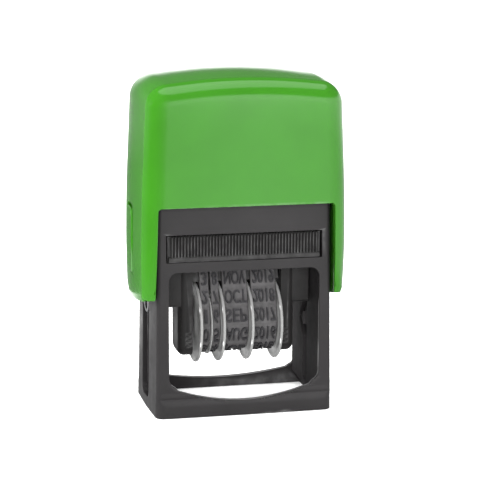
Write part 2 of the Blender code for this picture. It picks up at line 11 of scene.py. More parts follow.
import bmesh
import bpy
from mathutils import Matrix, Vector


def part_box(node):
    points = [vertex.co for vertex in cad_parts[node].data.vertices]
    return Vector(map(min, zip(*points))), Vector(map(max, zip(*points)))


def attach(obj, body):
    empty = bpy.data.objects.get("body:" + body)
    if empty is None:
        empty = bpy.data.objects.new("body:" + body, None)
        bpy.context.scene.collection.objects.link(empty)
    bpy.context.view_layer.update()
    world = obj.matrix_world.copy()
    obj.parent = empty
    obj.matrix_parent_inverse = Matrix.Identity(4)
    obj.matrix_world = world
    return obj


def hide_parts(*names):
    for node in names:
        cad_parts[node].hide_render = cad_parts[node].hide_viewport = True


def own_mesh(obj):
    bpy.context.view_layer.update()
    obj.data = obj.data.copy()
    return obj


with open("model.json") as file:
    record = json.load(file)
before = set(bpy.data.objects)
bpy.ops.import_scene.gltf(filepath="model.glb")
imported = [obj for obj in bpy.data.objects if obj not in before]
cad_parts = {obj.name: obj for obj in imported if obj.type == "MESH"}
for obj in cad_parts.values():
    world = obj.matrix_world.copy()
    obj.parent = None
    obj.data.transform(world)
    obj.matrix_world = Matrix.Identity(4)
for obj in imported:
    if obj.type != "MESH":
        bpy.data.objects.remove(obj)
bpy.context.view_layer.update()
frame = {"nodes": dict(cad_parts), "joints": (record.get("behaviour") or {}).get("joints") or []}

MM = 0.001


def span(node):
    """Lowest and highest corner of a CAD node, in millimetres."""
    low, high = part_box(node)
    return low / MM, high / MM


# --- driving dimensions, from the frame where a box gives them ---------------------------
BASE_TOP = span("base_frame")[1].z
BAND_HIGH = span("band_month")[1]
WHEEL_LOW, WHEEL_HIGH = span("wheel_month")
TRAY_LOW, TRAY_HIGH = span("ink_pad_tray")
FOAM_LOW, FOAM_HIGH = span("ink_pad_felt")
BAIL_LOWEST, BAIL_HIGHEST = span("bail_bracket")
SPRING_LOW, SPRING_HIGH = span("return_spring")
CHEEK_LOWEST, CHEEK_HIGHEST = span("cheek_right")
TRAVEL = frame["joints"][0]["range_m"][1] / MM

AXLE_Z = 28.35                    # turn-over axle
WHEEL_Z = (WHEEL_LOW.z + WHEEL_HIGH.z) / 2
COVER_TOP = 79.7                  # at the middle, before the crown is added


# --- meshes ---------------------------------------------------------------------------
def mesh_object(name, verts, faces):
    mesh = bpy.data.meshes.new(name)
    mesh.from_pydata([(x * MM, y * MM, z * MM) for x, y, z in verts], [], faces)
    bm = bmesh.new()
    bm.from_mesh(mesh)
    bmesh.ops.recalc_face_normals(bm, faces=bm.faces)
    bm.to_mesh(mesh)
    bm.free()
    obj = bpy.data.objects.new(name, mesh)
    bpy.context.scene.collection.objects.link(obj)
    return obj


def loft(name, rings, caps=True, around=False):
    """Skin over closed rings of equal length; around joins the last ring to the first."""
    n = len(rings[0])
    verts = [p for ring in rings for p in ring]
    faces = []
    pairs = [(k, k + 1) for k in range(len(rings) - 1)]
    if around:
        pairs.append((len(rings) - 1, 0))
    for a, b in pairs:
        for i in range(n):
            j = (i + 1) % n
            faces.append((a * n + i, a * n + j, b * n + j, b * n + i))
    if caps and not around:
        faces.append(tuple(range(n - 1, -1, -1)))
        faces.append(tuple(range((len(rings) - 1) * n, len(rings) * n)))
    return mesh_object(name, verts, faces)


def upright(half, low, high):
    """Outline of a rectangle that is as wide on both sides of the middle."""
    return [(-half, low), (half, low), (half, high), (-half, high)]


def prism(name, outline, axis, start, end):
    """Extrudes a flat outline along x (y, z), y (x, z) or z (x, y)."""
    place = {"x": lambda u, v, w: (w, u, v), "y": lambda u, v, w: (u, w, v),
             "z": lambda u, v, w: (u, v, w)}[axis]
    return loft(name, [[place(u, v, w) for u, v in outline] for w in (start, end)])


def turned(name, profile, axis, centre=(0.0, 0.0), steps=96, closed=False):
    """Turns (along, radius) pairs about a line parallel to x or z; closed makes a ring."""
    rings = []
    for along, radius in profile:
        ring = []
        for i in range(steps):
            a = 2 * math.pi * i / steps
            u, v = centre[0] + radius * math.cos(a), centre[1] + radius * math.sin(a)
            ring.append((along, u, v) if axis == "x" else (u, v, along))
        rings.append(ring)
    return loft(name, rings, around=closed)


def arc(cu, cv, radius, deg0, deg1, steps):
    return [(cu + radius * math.cos(math.radians(deg0 + (deg1 - deg0) * i / steps)),
             cv + radius * math.sin(math.radians(deg0 + (deg1 - deg0) * i / steps)))
            for i in range(steps + 1)]


def rounded(u0, u1, v0, v1, r, steps=8):
    """Counter-clockwise rectangle with rounded corners."""
    return (arc(u1 - r, v1 - r, r, 0, 90, steps) + arc(u0 + r, v1 - r, r, 90, 180, steps)
            + arc(u0 + r, v0 + r, r, 180, 270, steps) + arc(u1 - r, v0 + r, r, 270, 360, steps))


def inset(outline, amount):
    """Moves a counter-clockwise outline inwards by the same distance all round."""
    n, out = len(outline), []
    for i, (u, v) in enumerate(outline):
        (pu, pv), (nu, nv) = outline[i - 1], outline[(i + 1) % n]
        d1, d2 = math.hypot(u - pu, v - pv), math.hypot(nu - u, nv - v)
        mu = -(v - pv) / d1 - (nv - v) / d2
        mv = (u - pu) / d1 + (nu - u) / d2
        scale = 2.0 / (mu * mu + mv * mv)
        out.append((u + amount * mu * scale, v + amount * mv * scale))
    return out


def spread(outline, step):
    """Adds points so that no stretch of a closed outline is longer than step."""
    out = []
    for i, (u, v) in enumerate(outline):
        nu, nv = outline[(i + 1) % len(outline)]
        parts = max(1, math.ceil(math.hypot(nu - u, nv - v) / step))
        out += [(u + (nu - u) * k / parts, v + (nv - v) * k / parts) for k in range(parts)]
    return out


def eased(table, x):
    """Smooth value between the (x, value) pairs of a short profile."""
    if x <= table[0][0]:
        return table[0][1]
    for i in range(len(table) - 1):
        (x0, a), (x1, b) = table[i], table[i + 1]
        if x <= x1:
            (xp, p), (xn, n) = table[max(0, i - 1)], table[min(len(table) - 1, i + 2)]
            ma = (b - p) / (x1 - xp) * (x1 - x0)
            mb = (n - a) / (xn - x0) * (x1 - x0)
            t = (x - x0) / (x1 - x0)
            return ((2 * t ** 3 - 3 * t ** 2 + 1) * a + (t ** 3 - 2 * t ** 2 + t) * ma
                    + (3 * t ** 2 - 2 * t ** 3) * b + (t ** 3 - t ** 2) * mb)
    return table[-1][1]


def settle(obj):
    """Replaces an object's mesh by what its modifiers make of it."""
    graph = bpy.context.evaluated_depsgraph_get()
    mesh = bpy.data.meshes.new_from_object(obj.evaluated_get(graph))
    obj.modifiers.clear()
    obj.data = mesh


def combine(target, operation, helpers):
    for helper in helpers:
        mod = target.modifiers.new(operation.lower(), "BOOLEAN")
        mod.operation = operation
        mod.solver = "EXACT"
        mod.object = helper
    settle(target)
    for helper in helpers:
        bpy.data.objects.remove(helper)
    return target


def cut(target, *helpers):
    return combine(target, "DIFFERENCE", helpers)


def join(target, *helpers):
    return combine(target, "UNION", helpers)


def soften(obj, width, angle=38):
    """Rounds the edges that are sharper than the angle and shades the rest smooth."""
    bm = bmesh.new()
    bm.from_mesh(obj.data)
    bmesh.ops.remove_doubles(bm, verts=bm.verts, dist=0.004 * MM)
    bmesh.ops.dissolve_degenerate(bm, dist=0.004 * MM, edges=bm.edges)
    bm.to_mesh(obj.data)
    bm.free()
    mod = obj.modifiers.new("edges", "BEVEL")
    mod.width = width * MM
    mod.segments = 3
    mod.limit_method = "ANGLE"
    mod.angle_limit = math.radians(angle)
    mod.use_clamp_overlap = False
    mod.miter_outer = "MITER_ARC"
    settle(obj)
    obj.data.shade_smooth()
    obj.data.set_sharp_from_angle(angle=math.radians(40))
    mod = obj.modifiers.new("normals", "WEIGHTED_NORMAL")
    mod.keep_sharp = True
    mod.weight = 80
    settle(obj)
    return obj


def finish_piece(obj, material, slot, body, *nodes):
    obj.data.materials.clear()
    obj.data.materials.append(material)
    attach(obj, body)
    if nodes:
        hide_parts(*nodes)
    return obj


# --- materials ------------------------------------------------------------------------
class Paint:
    """A Principled material and short ways to wire its nodes, in object space."""

    def __init__(self, name, roughness, metallic=0.0, specular=0.5):
        self.material = bpy.data.materials.new(name)
        self.material.use_nodes = True
        self.tree = self.material.node_tree
        self.shader = self.tree.nodes["Principled BSDF"]
        self.shader.inputs["Metallic"].default_value = metallic
        self.shader.inputs["Roughness"].default_value = roughness
        self.shader.inputs["Specular IOR Level"].default_value = specular
        self.place = self.tree.nodes.new("ShaderNodeTexCoord").outputs["Object"]

    def node(self, kind, links=(), **values):
        made = self.tree.nodes.new(kind)
        for key, value in values.items():
            setattr(made, key, value)
        for socket, source in links:
            if hasattr(source, "node"):
                self.tree.links.new(source, made.inputs[socket])
            else:
                made.inputs[socket].default_value = source
        return made

    def maths(self, operation, *values):
        links = list(enumerate(values))
        return self.node("ShaderNodeMath", links, operation=operation).outputs[0]

    def split(self):
        """The x, y and z of the place in the object."""
        return self.node("ShaderNodeSeparateXYZ", [(0, self.place)]).outputs

    def noise(self, size_mm, detail=4.0, stretch=None):
        """Noise whose features are about size_mm across."""
        place = self.place
        if stretch:
            place = self.node("ShaderNodeMapping", [("Vector", place), ("Scale", stretch)]).outputs[0]
        return self.node("ShaderNodeTexNoise", [("Vector", place), ("Scale", 1 / (size_mm * MM)),
                                                ("Detail", detail)]).outputs["Fac"]

    def scaled(self, source, low, high, out_low, out_high):
        links = [("Value", source), ("From Min", low), ("From Max", high),
                 ("To Min", out_low), ("To Max", out_high)]
        return self.node("ShaderNodeMapRange", links).outputs["Result"]

    def mixed(self, factor, colour_a, colour_b):
        links = [(0, factor), (6, colour_a), (7, colour_b)]
        return self.node("ShaderNodeMix", links, data_type="RGBA").outputs[2]

    def use(self, socket, source):
        self.tree.links.new(source, self.shader.inputs[socket])

    def bump(self, height, depth_mm, strength=1.0, below=None):
        links = [("Height", height), ("Distance", depth_mm * MM), ("Strength", strength)]
        if below:
            links.append(("Normal", below))
        return self.node("ShaderNodeBump", links).outputs["Normal"]

    def worn_and_highlit_edges(self, colour, worn_and_lit_tone, amount):
        """Convex edges a little paler: wear where handling polishes them, and with a strong amount and a
        near-white tone a painted highlight, as on the wheel rims.
        """
        point = self.node("ShaderNodeNewGeometry").outputs["Pointiness"]
        edge = self.scaled(point, 0.53, 0.62, 0.0, amount)
        patchy = self.scaled(self.noise(2.5), 0.35, 0.7, 0.2, 1.0)
        return self.mixed(self.maths("MULTIPLY", edge, patchy), colour, worn_and_lit_tone)


def shade(colour, factor):
    return tuple(min(1.0, c * factor) for c in colour) + (1.0,)


def moulded(name, colour, rough, grain_mm, grain_depth, edge_wear_and_highlight, vary=0.06, specular=0.5,
            painted_shade_inside=None, edge=0.5):
    """Injection-moulded plastic: faint tone drift, fine grain, uneven gloss, edges towards a tone (wear, and
    on the wheel grey a painted rim highlight), and optionally a painted shade on the faces inside the
    housing.
    """
    paint = Paint(name, rough, specular=specular)
    drift = paint.noise(14.0, 3.0)
    tone = paint.mixed(paint.scaled(drift, 0.3, 0.7, 0.0, 1.0), shade(colour, 1 - vary),
                       shade(colour, 1 + vary))
    # Edge tone: wear on most plastics; on the wheel grey it comes out near white, a painted highlight on the
    # rims.
    pale = tuple(c + (edge - c) * 0.35 for c in colour)
    paint.use("Base Color", paint.worn_and_highlit_edges(tone, shade(pale, 1.0), edge_wear_and_highlight))
    gloss = paint.scaled(paint.noise(3.0), 0.3, 0.7, rough * 0.88, rough * 1.15)
    # Faces inside the housing lose their reflection: a painted shade.
    if painted_shade_inside:
        gloss = inner_painted_shade(paint, gloss, painted_shade_inside, specular)
    paint.use("Roughness", gloss)
    wave = paint.bump(paint.noise(9.0, 1.0), 0.02, 0.5)
    paint.use("Normal", paint.bump(paint.noise(grain_mm, 2.0), grain_depth, 0.6, wave))
    return paint.material


def inner_painted_shade(paint, gloss, half, specular):
    """Painted shade on the faces within half a width and half a depth: their reflection is cut almost to
    nothing, and their roughness is raised too.
    """
    maths, split = paint.maths, paint.split()
    wide = maths("LESS_THAN", maths("ABSOLUTE", split[0]), half[0] * MM)
    deep = maths("LESS_THAN", maths("ABSOLUTE", split[1]), half[1] * MM)
    inside = maths("MULTIPLY", wide, deep)
    paint.use("Specular IOR Level", paint.scaled(inside, 0.0, 1.0, specular, 0.06))
    return maths("ADD", gloss, maths("MULTIPLY", inside, 0.4))


def rubber(name, colour):
    """Matte band rubber with a dusting of dried ink in patches."""
    paint = Paint(name, 0.62, specular=0.35)
    patch = paint.scaled(paint.noise(1.6, 6.0), 0.4, 0.62, 0.0, 1.0)
    tone = paint.mixed(patch, shade(colour, 0.82), shade(colour, 1.15))
    paint.use("Base Color", paint.worn_and_highlit_edges(tone, shade(colour, 2.2), 0.5))
    paint.use("Roughness", paint.scaled(paint.noise(0.7), 0.3, 0.7, 0.5, 0.75))
    paint.use("Normal", paint.bump(paint.noise(0.12, 3.0), 0.012, 0.6))
    return paint.material


def steel(name, colour, stretch):
    """Drawn steel: fine lines along the stretch with the smallest scale."""
    paint = Paint(name, 0.32, metallic=1.0)
    lines = paint.noise(0.08, 2.0, stretch)
    paint.use("Base Color", paint.mixed(lines, shade(colour, 0.85), shade(colour, 1.1)))
    paint.use("Roughness", paint.scaled(lines, 0.3, 0.7, 0.24, 0.42))
    paint.use("Normal", paint.bump(lines, 0.004, 0.5))
    return paint.material


def foam(name, colour):
    """Inked foam: open cells, damp in patches; the cells are coloured darker in their pits and paler on
    their rims, following the bump, a painted shade and highlight.
    """
    paint = Paint(name, 0.8, specular=0.4)
    links = [("Vector", paint.place), ("Scale", 1 / (0.35 * MM))]
    cells = paint.node("ShaderNodeTexVoronoi", links).outputs["Distance"]
    damp = paint.scaled(paint.noise(5.0), 0.35, 0.65, 0.35, 0.9)
    # Colour follows the cell bump: darker pits and paler rims are painted shade and highlight.
    paint.use("Base Color", paint.mixed(cells, shade(colour, 0.5), shade(colour, 1.8)))
    paint.use("Roughness", damp)
    paint.use("Normal", paint.bump(cells, 0.08, 0.8))
    return paint.material


GREEN = moulded("cover_green", (0.0205, 0.119, 0.005), 0.16, 0.25, 0.0008, edge_wear_and_highlight=0.3)
# Base plastic: inside the housing its reflection is cut almost to nothing, a painted shade on the inner
# faces.
BLACK = moulded("base_charcoal", (0.0165, 0.0155, 0.016), 0.34, 0.18, 0.003, edge_wear_and_highlight=0.35, vary=0.1,
                specular=0.25, painted_shade_inside=(20.3, 12.0))
# Darker copy of the base plastic for the pad's ribbed grip and lip: a painted shade.
SHADED_GRIP = moulded("grip_charcoal_painted_shade", (0.009, 0.0085, 0.0085), 0.42, 0.18, 0.003, edge_wear_and_highlight=0.35, vary=0.1,
               specular=0.2)
CARRIER = moulded("carrier_black", (0.012, 0.0115, 0.0115), 0.42, 0.2, 0.004, edge_wear_and_highlight=0.3, vary=0.1,
                  specular=0.22)
# Wheel grey: convex edges pushed almost to white, a painted highlight on the disc rims.
GREY = moulded("wheel_grey", (0.2, 0.2, 0.197), 0.38, 0.2, 0.003, edge_wear_and_highlight=1.0, vary=0.03, specular=0.3,
               edge=2.3)
RUBBER = rubber("band_rubber", (0.052, 0.050, 0.051))
INKED = rubber("inked_type", (0.016, 0.0155, 0.017))
STEEL = steel("steel_plate", (0.3, 0.3, 0.31), (1.0, 1.0, 0.05))
WIRE = steel("spring_wire", (0.5, 0.5, 0.51), (1.0, 1.0, 1.0))
FOAM = foam("inked_foam", (0.012, 0.012, 0.018))


# --- cover ----------------------------------------------------------------------------
COVER_Y, COVER_ROUND, COVER_REF, CROWN = 15.6, 4.8, 22.4, 0.85
COVER_TAPER = 0.0009              # narrower towards the rear, per millimetre
COVER_W = ((24.0, 23.8), (28.0, 23.95), (34.5, 24.1), (41.0, 24.15), (52.0, 23.95), (62.0, 23.55),
           (74.0, 23.05), (80.0, 22.85))
FRONT_D = ((25.0, 13.9), (30.0, 14.55), (36.0, 15.15), (44.0, 15.55), (60.0, 15.6), (80.0, 15.45))
REAR_D = ((25.0, 15.2), (36.0, 15.5), (60.0, 15.6), (80.0, 15.45))
COVER_CORNER, COVER_DOME = 5.4, 0.0040
INSIDE_X, INSIDE_Y, INSIDE_TOP = 21.75, 13.75, 76.4
CUT_HALF, CUT_TOP, CUT_FLARE = 20.9, 50.2, 0.023    # front and back cut-outs, wider below
BUTTON = (-0.7, 7.6, 32.7, 47.8)   # y from, y to, z from, z to


def cover_outline():
    """Front outline of the block before it is bowed, counter-clockwise in (x, z)."""
    side, corner = COVER_REF, COVER_CORNER
    top = COVER_TOP - COVER_DOME * (side - corner) ** 2
    right = [(side, 14.0)] + [(side, 21.0 + 0.45 * i) for i in range(28)]
    right += [(side, 34.0 + 1.7 * i) for i in range(21)]
    right += arc(side - corner, top - corner, corner, 0, 86, 26)
    right += [(x, COVER_TOP - COVER_DOME * x * x) for x in (15.6 - 1.3 * i for i in range(12))]
    return right + [(0.0, COVER_TOP)] + [(-x, z) for x, z in reversed(right)]


def leg_edge(y):
    """Height of the lower edge of the side legs."""
    return 26.2 - 0.1 * y + 0.005 * y * y + 0.3 * max(0.0, y - 9.0) ** 2


def bowed(x, y, z, swell=0.0):
    """Narrower at the foot and at the top, with swelling sides and roof."""
    wide = eased(COVER_W, z) / COVER_REF * (1 - COVER_TAPER * y)
    deep = eased(FRONT_D if y < 0 else REAR_D, z) / COVER_Y
    arch = max(0.0, 1 - (y / (COVER_Y - COVER_ROUND)) ** 2)
    x *= wide * (1 + (swell + 0.35 * CROWN * arch) / COVER_REF)
    turn_in = max(0.0, 1 - max(0.0, z - leg_edge(y)) / 1.2)
    outer = min(1.0, max(0.0, (abs(x) - 20.5) / 2.0))
    x -= math.copysign(0.35 * turn_in ** 2 * outer, x)
    lift = CROWN * arch * max(0.0, (z - 66.0) / (COVER_TOP - 66.0)) ** 2
    return x, y * deep, z + lift


def cover_block(name, swell=0.0):
    """The cover's outer form: an outline swept from front to rear with rounded faces."""
    outline, steps, rings = cover_outline(), 14, []
    flat = COVER_Y - COVER_ROUND
    for side in (-1, 1):
        for k in (range(steps + 1) if side < 0 else range(steps, -1, -1)):
            turn = math.pi / 2 * (1 - k / steps)
            y = side * (flat + COVER_ROUND * math.sin(turn))
            ring = inset(outline, COVER_ROUND * (1 - math.cos(turn)))
            rings.append([bowed(x, y, z, swell) for x, z in ring])
        if side < 0:
            for y in (flat * (i / 5 - 1) for i in range(1, 10)):
                rings.append([bowed(x, y, z, swell) for x, z in outline])
    n = len(outline)
    verts = [p for ring in rings for p in ring]
    faces = []
    for a in range(len(rings) - 1):
        for i in range(n):
            j = (i + 1) % n
            faces.append((a * n + i, a * n + j, (a + 1) * n + j, (a + 1) * n + i))
    for start in (0, (len(rings) - 1) * n):        # ladder of quads across each flat face
        for i in range(n // 2):
            quad = [start + i, start + i + 1, start + n - 2 - i, start + n - 1 - i]
            faces.append(tuple(dict.fromkeys(quad)))
    return mesh_object(name, verts, faces)


def cover_hollow():
    r = 2.6
    shoulder = arc(INSIDE_X - 0.4 - r, INSIDE_TOP - r, r, 0, 90, 12)
    right = [(INSIDE_X, 15.0), (INSIDE_X, 58.0)] + shoulder
    hollow = prism("hollow", right + [(-x, z) for x, z in reversed(right)], "y", -INSIDE_Y, INSIDE_Y)
    column = rounded(-INSIDE_X, INSIDE_X, -INSIDE_Y, INSIDE_Y, 2.4, 8)
    return combine(hollow, "INTERSECT", [prism("column", column, "z", 12.0, 79.0)])


def button_outline(gap=0.0):
    y0, y1, z0, z1 = BUTTON
    y0, y1, z0, z1, r = y0 - gap, y1 + gap, z0 - gap, z1 + 2.3 * gap, 2.0
    return ([(y1, z0)] + arc(y1 - r, z1 - r, r, 0, 90, 10) + arc(y0 + r, z1 - r, r, 90, 180, 10)
            + [(y0, z0)])


def make_cover():
    """Hollow cover with its cut-outs and legs, and the two lock buttons in its sides."""
    cover = cover_block("cover_body")
    corner = arc(CUT_HALF - 0.9, CUT_TOP - 0.9, 0.9, 0, 90, 6)
    wide = CUT_HALF + CUT_FLARE * (CUT_TOP - 10.0)
    opening = [(-wide, 10.0), (wide, 10.0)] + corner + [(-x, z) for x, z in reversed(corner)]
    edge = [(y, leg_edge(y)) for y in (19.0 - 1.0 * i for i in range(39))]
    under = [(-19.0, 12.0), (19.0, 12.0)] + edge
    helpers = [prism("opening", opening, "y", -20.0, 20.0), cover_hollow()]
    for x0, x1 in ((-29.0, -16.0), (16.0, 29.0)):
        helpers.append(prism("under_leg", under, "x", x0, x1))
    for x0, x1 in ((-27.0, -20.0), (20.0, 27.0)):
        helpers.append(prism("button_gap", button_outline(0.4), "x", x0, x1))
    cut(cover, helpers[0])
    cut(cover, *helpers[2:4])
    cut(cover, helpers[1], *helpers[4:])
    for x in (-13.0, 13.0):
        join(cover, turned("boss", ((74.35, 2.4), (INSIDE_TOP + 0.5, 2.4)), "z", (x, 0.0), 40))
    soften(cover, 0.2)
    finish_piece(cover, GREEN, "cover_plastic", "cover", "cover_shell")
    for side, name in ((-1, "left"), (1, "right")):
        x0, x1 = sorted((side * 22.3, side * 27.0))
        button = prism("button_" + name, button_outline(), "x", x0, x1)
        combine(button, "INTERSECT", [cover_block("swollen", 0.25)])
        soften(button, 0.3)
        finish_piece(button, GREEN, "cover_plastic", "lock_" + name, "lock_button_" + name)


# --- base -----------------------------------------------------------------------------
BASE_X, BASE_Y, DRAFT = 21.1, 13.0, 0.012
BULGE_X, BULGE_Y, REAR_ROUND = 0.35, 0.2, 3.0
FOOT = ((0.0, 0.42), (0.35, 0.62), (2.6, 0.62), (3.3, 0.52), (4.1, 0.2), (4.5, 0.0), (4.9, 0.14),
        (6.1, 0.0), (7.0, 0.0))
FOOT_TOP = 6.1
ROOM_X, ROOM_Y, FLARE_X, FLARE_Z = 18.0, 11.8, 20.0, 3.4
WINDOW_TOP, WINDOW_CORNER = 34.6, 2.2
FRONT_WINDOW, REAR_WINDOW = (18.0, 3.65, 0.0113), (18.7, 2.45, 0.0062)
SLOT = (3.9, 31.0, 1.75)           # bottom, top, half width
CHANNEL_X, CHANNEL_HALF = 20.0, 4.0
CAM_X, CAM_R, CAM_HALF = 19.1, 3.95, 0.88
PAD_LOW, PAD_TOP, PAD_HALF, DECK = 37.0, 43.4, 18.6, 45.0


def base_ring(z):
    """Plan outline at height z: rounded corners and gently bowed faces."""
    foot = max(0.0, eased(FOOT, z)) if z < FOOT_TOP else 0.0
    a, b = BASE_X - DRAFT * z, BASE_Y - DRAFT * z + foot
    front = 0.9 + 1.9 * foot
    ring = []
    for sx, sy, deg, r in ((1, 1, 0, REAR_ROUND), (-1, 1, 90, REAR_ROUND), (-1, -1, 180, front),
                           (1, -1, 270, front)):
        ring += arc(sx * (a - r), sy * (b - r), r, deg, deg + 90, 10)
    out = []
    for i, (x, y) in enumerate(ring):
        nx, ny = ring[(i + 1) % len(ring)]
        parts = 16 if (i + 1) % 11 == 0 else 1
        out += [(x + (nx - x) * k / parts, y + (ny - y) * k / parts) for k in range(parts)]
    return [(x * (1 + BULGE_X / a * (1 - min(1.0, (y / b) ** 2))),
             y * (1 + BULGE_Y / b * (1 - min(1.0, (x / a) ** 2))), z) for x, y in out]


def window_outline(window):
    """Rounded window whose lower edge follows the rail's shallow arc."""
    half, lowest, curve = window
    r, reach, steps = WINDOW_CORNER, half - WINDOW_CORNER, 40
    low = [(x, lowest + curve * x * x)
           for x in (-reach + 2 * reach * i / steps for i in range(steps + 1))]
    shoulder = low[-1][1] + r + 2 * curve * reach * r
    return (low + arc(reach, shoulder, r, -70, 0, 8) + arc(reach, WINDOW_TOP - r, r, 0, 90, 10)
            + arc(-reach, WINDOW_TOP - r, r, 90, 180, 10) + arc(-reach, shoulder, r, 180, 250, 8))


def cam_outline():
    """Groove that a follower cuts as the unit turns half a turn while it sinks."""
    steps, left, right = 60, [], []
    for i in range(steps + 1):
        (y, z), (y2, z2) = ((CAM_R * math.sin(t), AXLE_Z - TRAVEL * t / math.pi - CAM_R * math.cos(t))
                            for t in (math.pi * i / steps, math.pi * i / steps + 0.01))
        size = math.hypot(y2 - y, z2 - z)
        ny, nz = -(z2 - z) / size * CAM_HALF, (y2 - y) / size * CAM_HALF
        left.append((y + ny, z + nz))
        right.append((y - ny, z - nz))
    return left + right[::-1]


def make_base():
    """Open housing: foot, windows, pin slots, guide channels, cam grooves and the pad's slot."""
    levels = [0.0, 0.12, 0.35] + [0.6 + 0.4 * i for i in range(5)] + [2.6 + 0.1 * i for i in range(36)]
    levels += [6.4, 8.0, 12.0, 20.0, 28.0, 36.0, 44.0, BASE_TOP]
    base = loft("base_body", [base_ring(z) for z in levels])
    room = [(-FLARE_X, -1), (FLARE_X, -1), (FLARE_X, 0.8), (ROOM_X, FLARE_Z), (ROOM_X, PAD_LOW + 0.1),
            (-ROOM_X, PAD_LOW + 0.1), (-ROOM_X, FLARE_Z), (-FLARE_X, 0.8)]
    low, high, half = SLOT
    cut(base, prism("room", room, "y", -ROOM_Y, ROOM_Y),
        prism("well", rounded(-18.9, 18.9, -11.4, 11.4, 1.5), "z", DECK, BASE_TOP + 2),
        prism("pad_slot", upright(PAD_HALF, PAD_LOW, PAD_TOP), "y", -16, ROOM_Y))
    cut(base, prism("front_window", window_outline(FRONT_WINDOW), "y", -17, 0),
        prism("rear_window", window_outline(REAR_WINDOW), "y", ROOM_Y - 0.1, 17))
    mouth = arc(0.0, AXLE_Z - 0.2, 3.1, 0, 360, 40)[:-1]
    channel = rounded(-CHANNEL_HALF, CHANNEL_HALF, 2.6, BASE_TOP + 6, 2.0, 8)
    for side in (-1, 1):
        cut(base, prism("slot", rounded(-half, half, low, high, 1.7, 10), "x", side * 17, side * 23))
        cut(base, prism("channel", channel, "x", side * CHANNEL_X, side * 23))
        cut(base, prism("cam", cam_outline(), "x", side * 17, side * CAM_X))
        cut(base, prism("mouth", mouth, "x", side * 17, side * CAM_X))
    join(base, turned("cup", ((DECK - 0.4, 7.6), (DECK + 1.6, 7.6)), "z", steps=64))
    cut(base, turned("cup_well", ((DECK, 6.5), (DECK + 3, 6.5)), "z", steps=64))
    soften(base, 0.16)
    finish_piece(base, BLACK, "base_plastic", "base", "base_frame")


# --- ink pad --------------------------------------------------------------------------
def make_pad():
    """Tray with an open well, and the ribbed grip and lip on its front."""
    front, back = TRAY_LOW.y, TRAY_HIGH.y
    top, below, ceiling = TRAY_HIGH.z, PAD_LOW - 2, 41.2
    tray = prism("pad_tray", upright(18.2, TRAY_LOW.z, top), "y", front + 1.2, back)
    cut(tray, prism("tray_well", upright(17.1, below, ceiling), "y", -10.4, 10.4),
        prism("tray_notch", upright(10.5, below, FOAM_LOW.z), "y", 8, 14))
    soften(tray, 0.15)
    finish_piece(tray, BLACK, "base_plastic", "ink_pad", "ink_pad_tray")

    ribs, pitch, half, deep = 47, 0.748, 0.25, 0.5

    def grip_ring(z, back_off):
        face = front + 0.55
        ring = [(-18.05, front + 1.4), (-18.05, face)]
        for i in range(ribs):
            x = (i - (ribs - 1) / 2) * pitch
            for k in range(-4, 5):
                y = face - max(0.0, deep * math.sqrt(max(0.0, 1 - (k / 4) ** 2)) - back_off)
                ring.append((x + half * k / 4, y))
        return [(x, y, z) for x, y in ring + [(18.05, face), (18.05, front + 1.4)]]

    levels = ((38.2, 0.0), (top - 0.4, 0.0), (top - 0.15, 0.14), (top, 0.5))
    grip = loft("pad_grip_ribs", [grip_ring(z, back_off) for z, back_off in levels])
    grip.data.shade_smooth()
    grip.data.set_sharp_from_angle(angle=math.radians(50))
    finish_piece(grip, SHADED_GRIP, "base_plastic", "ink_pad")
    lip = [(front + 1.4, 37.05), (front + 0.2, 37.05), (front + 0.05, 37.25), (front + 0.05, 37.9),
           (front + 0.35, 38.35), (front + 1.4, 38.35)]
    lip = prism("pad_grip_lip", lip, "x", -18.05, 18.05)
    soften(lip, 0.12)
    finish_piece(lip, SHADED_GRIP, "base_plastic", "ink_pad")


def make_foam():
    """Foam pad: a slightly crowned block with soft edges and an uneven, open surface."""
    (x0, y0, z0), (x1, y1, z1) = FOAM_LOW, FOAM_HIGH
    rings = []
    for drop, pull in ((0.0, 0.55), (0.12, 0.25), (0.5, 0.0), (1.2, 0.1), (1.9, 0.0), (2.35, 0.2)):
        z = min(z1, z0 + drop)
        ring = spread(rounded(x0 + pull, x1 - pull, y0 + pull, y1 - pull, 1.2, 6), 0.6)
        rings.append([(x, y, z) for x, y in ring])
    pad = loft("ink_foam", rings)
    bm = bmesh.new()
    bm.from_mesh(pad.data)
    bmesh.ops.triangulate(bm, faces=[f for f in bm.faces if len(f.verts) > 4])
    bm.to_mesh(pad.data)
    bm.free()
    pad.data.shade_smooth()
    finish_piece(pad, FOAM, "pad_felt", "ink_pad", "ink_pad_felt")


# --- bail and spring ------------------------------------------------------------------
def make_bail():
    """Flat steel bridge with two arms that end round and carry the unit's pins."""
    (x0, y0, z0), (x1, y1, z1) = BAIL_LOWEST, BAIL_HIGHEST
    thick, half = 0.8, 3.6
    bail = prism("bail_plate", [(x0, 72.8), (x1, 72.8), (x1, z1), (x0, z1)], "y", y0, y1)
    arm = arc(0.0, z0 + half, half, 180, 360, 28) + [(half, z1 - 0.1), (-half, z1 - 0.1)]
    join(bail, prism("arm", arm, "x", x0, x0 + thick), prism("arm", arm, "x", x1 - thick, x1))
    cut(bail, prism("pin_holes", arc(0.0, AXLE_Z, 1.75, 0, 360, 40)[:-1], "x", -23, 23),
        prism("end_holes", arc(0.0, 24.95, 1.35, 0, 360, 32)[:-1], "x", -23, 23))
    soften(bail, 0.12)
    finish_piece(bail, STEEL, "steel", "cover", "bail_bracket")


